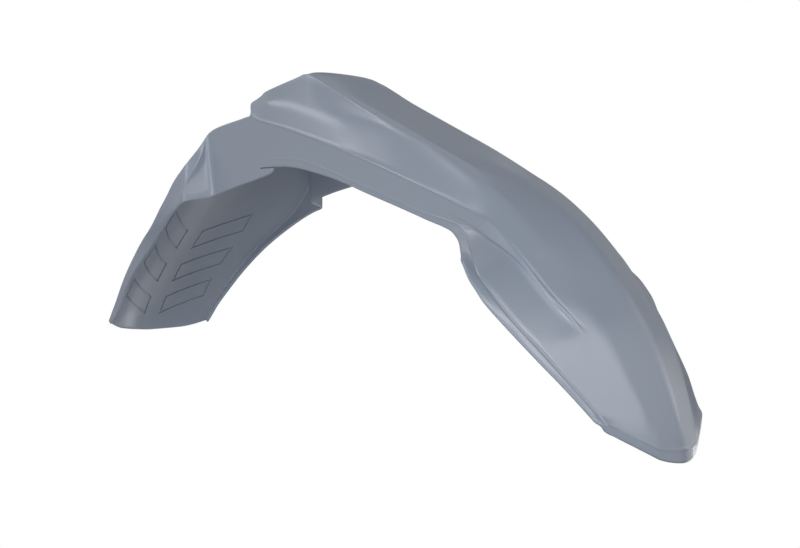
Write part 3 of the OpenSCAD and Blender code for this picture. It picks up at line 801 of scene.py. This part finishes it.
def cut_out(obj, points, faces):
    """Cut closed shapes, given in metres, out of an object, and keep sharp edges sharp."""
    mesh = bpy.data.meshes.new("cutters")
    mesh.from_pydata(points.tolist(), [], faces)
    work = bmesh.new()
    work.from_mesh(mesh)
    bmesh.ops.recalc_face_normals(work, faces=work.faces)
    work.to_mesh(mesh)
    work.free()
    cutter = bpy.data.objects.new("cutters", mesh)
    bpy.context.scene.collection.objects.link(cutter)
    step = obj.modifiers.new("cuts", "BOOLEAN")
    step.operation = "DIFFERENCE"
    step.solver = "MANIFOLD"
    step.object = cutter
    graph = bpy.context.evaluated_depsgraph_get()
    cut = bpy.data.meshes.new_from_object(obj.evaluated_get(graph))
    obj.modifiers.clear()
    if len(cut.polygons) <= len(obj.data.polygons):
        raise RuntimeError("the holes and grooves were not cut")
    obj.data = cut
    bpy.data.objects.remove(cutter)
    cut.shade_smooth()
    cut.set_sharp_from_angle(angle=SHARP_ANGLE)


def new_mesh_object(name, points, quads):
    """A mesh object at the origin from vertices in metres and quads."""
    mesh = bpy.data.meshes.new(name)
    mesh.vertices.add(len(points))
    mesh.vertices.foreach_set("co", points.astype(np.float32).ravel())
    mesh.loops.add(quads.size)
    mesh.loops.foreach_set("vertex_index", quads.astype(np.int32).ravel())
    mesh.polygons.add(len(quads))
    mesh.polygons.foreach_set("loop_start", np.arange(0, quads.size, 4, dtype=np.int32))
    mesh.update(calc_edges=True)
    mesh.validate()
    obj = bpy.data.objects.new(name, mesh)
    bpy.context.scene.collection.objects.link(obj)
    return obj


# Moulded grain: its cells per metre, its octaves and its depth in metres at full strength
GRAIN_SCALE = 900
GRAIN_DETAIL = 3
GRAIN_DEPTH = 0.0003


def plastic_material(finish):
    """Through-coloured satin plastic with a fine grain that only the shading shows."""
    material = bpy.data.materials.new("satin_plastic")
    material.use_nodes = True
    nodes, links = material.node_tree.nodes, material.node_tree.links
    shader = nodes["Principled BSDF"]
    shader.inputs["Base Color"].default_value = finish.plastic
    shader.inputs["Roughness"].default_value = finish.roughness
    coords = nodes.new("ShaderNodeTexCoord")
    grain = nodes.new("ShaderNodeTexNoise")
    grain.inputs["Scale"].default_value = GRAIN_SCALE
    grain.inputs["Detail"].default_value = GRAIN_DETAIL
    bump = nodes.new("ShaderNodeBump")
    bump.inputs["Strength"].default_value = finish.grain
    bump.inputs["Distance"].default_value = GRAIN_DEPTH
    links.new(coords.outputs["Object"], grain.inputs["Vector"])
    links.new(grain.outputs["Fac"], bump.inputs["Height"])
    links.new(bump.outputs["Normal"], shader.inputs["Normal"])
    return material


class MUDGUARD_OT_shell(bpy.types.Operator):
    """Build the moulded shell and give it its satin plastic"""

    bl_idname = "mudguard.shell"
    bl_label = "Moulded Shell"

    def execute(self, context):
        m = sizes_in_mm(context.scene.mudguard_sizes)
        points, quads, tail = shell_arrays(m)
        shell = new_mesh_object("moulded_shell", points * MM, quads)
        shell.data.materials.append(plastic_material(context.scene.mudguard_finish))
        cuts, faces = cutters(m, tail)
        cut_out(shell, cuts * MM, faces)
        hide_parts("mudguard")
        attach(shell, "root")
        return {"FINISHED"}


class MudguardStudio(bpy.types.PropertyGroup):
    """Levels of the studio light."""

    lamps: share("Lamps", "Level of all the soft lamps", 1.0, 4.0)
    fill: share("Fill", "Level of the even light from all round", 0.02, 4.0)
    floor_drop: length("Floor drop", "Deck down to the floor", 1500)


# The middle of the part, which the lamps face, and how far they stand from it, in metres
LAMP_MIDDLE = (0.12, 0.0, -0.12)
LAMP_FAR = 1.6
# Soft round lamps: name, direction from that middle, angle across in degrees, radiance
LAMPS = (
    ("front_right_top", (0.71, -0.29, 0.64), 28, 3.6),
    ("front_right_band", (0.79, -0.35, 0.51), 12, 9),
    ("front_top", (0.94, 0.00, 0.34), 28, 3.4),
    ("right_front", (0.45, -0.89, 0.00), 12, 9),
    ("right_front_top", (0.26, -0.91, 0.31), 12, 9),
    ("right", (0.20, -0.97, 0.10), 12, 12),
    ("right_front_low", (0.53, -0.77, -0.34), 28, 4),
    ("rear_right_low", (-0.33, -0.88, -0.34), 28, 1.9),
    ("rear_right", (-0.53, -0.64, 0.56), 9, 11),
    ("rear_right_top", (-0.49, -0.60, 0.63), 9, 6),
    ("right_top", (-0.30, -0.20, 0.93), 12, 9),
    ("rear_top", (-0.50, 0.00, 0.87), 28, 1.6),
    ("left_top", (-0.25, 0.43, 0.87), 28, 0.6),
    ("left_front_top", (0.53, 0.77, 0.34), 28, 1.15),
    ("left_front", (0.42, 0.91, 0.00), 28, 1.3),
    ("left_front_band", (0.60, 0.79, 0.16), 12, 2.5),
    ("left_side_top", (-0.11, 0.93, 0.34), 40, 0.3),
    ("rear_left_top", (-0.48, 0.72, 0.49), 20, 0.3),
    ("left_low", (0.11, 0.93, -0.34), 28, 3),
    ("left_under", (-0.05, 0.79, -0.62), 28, 1.1),
)


def soft_lamp(name, direction, degrees_across, radiance):
    """A round soft lamp that faces the part. Its power is pi times its area times radiance."""
    lamp = bpy.data.lights.new(name, "AREA")
    lamp.shape = "DISK"
    lamp.size = 2 * LAMP_FAR * math.tan(math.radians(degrees_across / 2))
    area = math.pi * lamp.size ** 2 / 4
    lamp.energy = math.pi * area * radiance
    obj = bpy.data.objects.new(name, lamp)
    way = Vector(direction).normalized()
    obj.location = Vector(LAMP_MIDDLE) + way * LAMP_FAR
    obj.rotation_euler = way.to_track_quat("Z", "Y").to_euler()
    bpy.context.scene.collection.objects.link(obj)


def white_where_seen(tree, lit_strength):
    """A world that lights at one strength and looks plain white to the camera and in gloss."""
    nodes, links = tree.nodes, tree.links
    lit = nodes["Background"]
    lit.inputs["Color"].default_value = (1, 1, 1, 1)
    lit.inputs["Strength"].default_value = lit_strength
    seen = nodes.new("ShaderNodeBackground")
    seen.inputs["Color"].default_value = (1, 1, 1, 1)
    seen.inputs["Strength"].default_value = 1.0
    path = nodes.new("ShaderNodeLightPath")
    either = nodes.new("ShaderNodeMath")
    either.operation = "MAXIMUM"
    any_of = nodes.new("ShaderNodeMath")
    any_of.operation = "MAXIMUM"
    mix = nodes.new("ShaderNodeMixShader")
    links.new(path.outputs["Is Camera Ray"], either.inputs[0])
    links.new(path.outputs["Is Glossy Ray"], either.inputs[1])
    links.new(either.outputs[0], any_of.inputs[0])
    links.new(path.outputs["Is Transmission Ray"], any_of.inputs[1])
    links.new(any_of.outputs[0], mix.inputs["Fac"])
    links.new(lit.outputs[0], mix.inputs[1])
    links.new(seen.outputs[0], mix.inputs[2])
    links.new(mix.outputs[0], nodes["World Output"].inputs["Surface"])


# The photograph's frame and the camera's focal length in its pixels
PHOTO_W = 800
PHOTO_H = 548
FOCAL_PX = 1657
SENSOR = 36.0
# The camera looks level, turned about the vertical by this angle from a view along +Y
CAMERA_TURN = math.radians(43)
# A point over the rear of the deck, how far in front of the camera it is, and where the
# photograph shows it and the level of the horizon
MIDDLE = (-0.030, 0.0, 0.010)
CAMERA_FAR = 1.726
MIDDLE_PX = (274, 125)
HORIZON_PX = 284
# Half the width of the studio room, also its height above the deck, and the greys of its pale
# floor and of its dark ceiling and left wall
ROOM_SIDE = 2.5
FLOOR_COLOUR = 0.8
DARK_COLOUR = 0.02


def plane(name, corners, grey):
    """A flat matt piece of the studio in one grey."""
    obj = new_mesh_object(name, np.array(corners), np.array([[0, 1, 2, 3]]))
    paint = bpy.data.materials.new(name)
    paint.use_nodes = True
    shader = paint.node_tree.nodes["Principled BSDF"]
    shader.inputs["Base Color"].default_value = (grey, grey, grey, 1)
    shader.inputs["Roughness"].default_value = 1.0
    obj.data.materials.append(paint)
    return obj


class MUDGUARD_OT_stage(bpy.types.Operator):
    """Set up the pale floor, the soft lights and the camera at the photograph's angle"""

    bl_idname = "mudguard.stage"
    bl_label = "Studio Stage"

    def execute(self, context):
        scene = context.scene
        scene.view_settings.view_transform = "Standard"
        metres_per_px = CAMERA_FAR / FOCAL_PX
        side = (PHOTO_W / 2 - MIDDLE_PX[0]) * metres_per_px
        height = (HORIZON_PX - MIDDLE_PX[1]) * metres_per_px
        c, s = math.cos(CAMERA_TURN), math.sin(CAMERA_TURN)
        camera = bpy.data.cameras.new("camera")
        camera.sensor_width = SENSOR
        camera.lens = SENSOR * FOCAL_PX / PHOTO_W
        camera.shift_y = (HORIZON_PX - PHOTO_H / 2) / PHOTO_W
        holder = bpy.data.objects.new("camera", camera)
        holder.location = (
            MIDDLE[0] + side * c + CAMERA_FAR * s,
            MIDDLE[1] + side * s - CAMERA_FAR * c,
            MIDDLE[2] - height)
        holder.rotation_euler = (math.pi / 2, 0, CAMERA_TURN)
        scene.collection.objects.link(holder)
        scene.camera = holder
        studio = scene.mudguard_studio
        for name, direction, degrees_across, radiance in LAMPS:
            soft_lamp(name, direction, degrees_across, radiance * studio.lamps)
        world = bpy.data.worlds.new("studio")
        world.use_nodes = True
        white_where_seen(world.node_tree, studio.fill)
        scene.world = world
        down, side, above = -studio.floor_drop, ROOM_SIDE, ROOM_SIDE
        plane("floor", [(-side, -side, down), (side, -side, down), (side, side, down),
                        (-side, side, down)], FLOOR_COLOUR)
        dark = [
            plane("ceiling", [(-side, -side, above), (-side, side, above), (side, side, above),
                              (side, -side, above)], DARK_COLOUR),
            plane("left_wall", [(-side, side, down), (side, side, down), (side, side, above),
                                (-side, side, above)], DARK_COLOUR),
        ]
        for obj in dark:
            obj.visible_camera = False
        return {"FINISHED"}


class MUDGUARD_PT_panel(bpy.types.Panel):
    """Sizes, finish and build buttons of the mudguard"""

    bl_idname = "MUDGUARD_PT_panel"
    bl_label = "Front Mudguard"
    bl_space_type = "VIEW_3D"
    bl_region_type = "UI"
    bl_category = "Mudguard"

    def draw(self, context):
        layout = self.layout
        for group in (context.scene.mudguard_sizes, context.scene.mudguard_finish,
                      context.scene.mudguard_studio):
            box = layout.box()
            for key in type(group).__annotations__:
                box.prop(group, key)
        for operator in OPERATORS:
            layout.operator(operator.bl_idname)


OPERATORS = (MUDGUARD_OT_shell, MUDGUARD_OT_stage)
CLASSES = (MudguardSizes, MudguardFinish, MudguardStudio, *OPERATORS, MUDGUARD_PT_panel)


def register():
    """Register every class and hang the property groups on the scene."""
    for cls in CLASSES:
        bpy.utils.register_class(cls)
    bpy.types.Scene.mudguard_sizes = bpy.props.PointerProperty(type=MudguardSizes)
    bpy.types.Scene.mudguard_finish = bpy.props.PointerProperty(type=MudguardFinish)
    bpy.types.Scene.mudguard_studio = bpy.props.PointerProperty(type=MudguardStudio)


def unregister():
    """Take the property groups off the scene and unregister every class."""
    del bpy.types.Scene.mudguard_studio
    del bpy.types.Scene.mudguard_finish
    del bpy.types.Scene.mudguard_sizes
    for cls in reversed(CLASSES):
        bpy.utils.unregister_class(cls)


def main():
    register()
    bpy.ops.mudguard.shell()
    bpy.ops.mudguard.stage()


if __name__ == "__main__":
    main()
